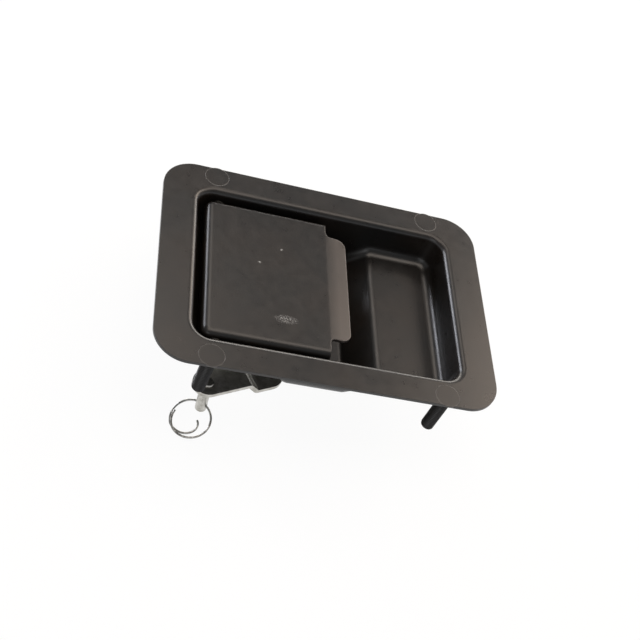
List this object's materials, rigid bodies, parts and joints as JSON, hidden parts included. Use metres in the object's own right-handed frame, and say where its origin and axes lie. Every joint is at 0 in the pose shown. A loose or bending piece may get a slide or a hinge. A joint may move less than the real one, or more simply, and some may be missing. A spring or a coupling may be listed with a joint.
{
  "type": "paddle latch",
  "caption": "Flush-mounted paddle latch: a drawn black dish on threaded studs, a sprung pull-up paddle and a plated trip lever behind it with a cable pin and split ring.",
  "frame": {"origin": "centre of the four-stud pattern, on the back face of the flange, which rests on the panel", "axes": "+X along the long side towards the grip end of the paddle, +Y across the face towards the top edge of the flange, +Z out of the face towards the user"},
  "size_m": [0.15, 0.1169, 0.0466],
  "materials": {
    "dish": "semi-gloss black e-coat on drawn steel sheet",
    "stud": "semi-gloss black e-coat on a steel stud",
    "paddle": "semi-gloss black e-coat on formed steel sheet",
    "pin": "turned steel, thin zinc plating",
    "clip": "phosphated spring steel",
    "lever": "zinc-plated pressed steel",
    "cable_pin": "zinc-plated turned steel",
    "spring": "zinc-plated spring wire",
    "ring": "bright stainless spring wire"
  },
  "bodies": {
    "housing": {"dish": "dish", "mounting_stud_top_left": "stud", "mounting_stud_top_right": "stud", "mounting_stud_bottom_left": "stud", "mounting_stud_bottom_right": "stud", "hinge_pin": "pin", "hinge_pin_clip": "clip", "hinge_spacer_top": "pin", "hinge_spacer_bottom": "pin", "pivot_post": "pin", "pivot_washer": "pin", "pivot_clip": "clip", "paddle_return_spring": "spring", "lever_return_spring": "spring"},
    "paddle": {"paddle": "paddle", "drive_finger": "paddle"},
    "trip_lever": {"lever": "lever", "drive_pin": "lever", "cable_pin": "cable_pin"},
    "split_ring": {"cotter_ring": "ring"}
  },
  "joints": [
    {"name": "paddle_hinge", "type": "hinge", "parent": "housing", "child": "paddle", "pos_m": [-0.0488, 0, -0.006], "axis": [0, -1, 0], "range_deg": [0, 35], "stiffness_Nm_per_rad": 0.079, "springref_deg": -89.95, "deforming": ["paddle_return_spring"]},
    {"name": "lever_pivot", "type": "hinge", "parent": "housing", "child": "trip_lever", "pos_m": [-0.04326, -0.02813, -0.0245], "axis": [0, 0, -1], "range_deg": [0, 24.5], "stiffness_Nm_per_rad": 0.118, "springref_deg": -60.16, "deforming": ["lever_return_spring"]},
    {"name": "ring_swing", "type": "hinge", "parent": "trip_lever", "child": "split_ring", "pos_m": [-0.04501, -0.0452, -0.03873], "axis": [0.8525, -0.515, 0.0896], "range_deg": [-50, 180]}
  ],
  "couplings": [
    {"joint": "lever_pivot", "follows": "paddle_hinge", "ratio": 0.7}
  ]
}
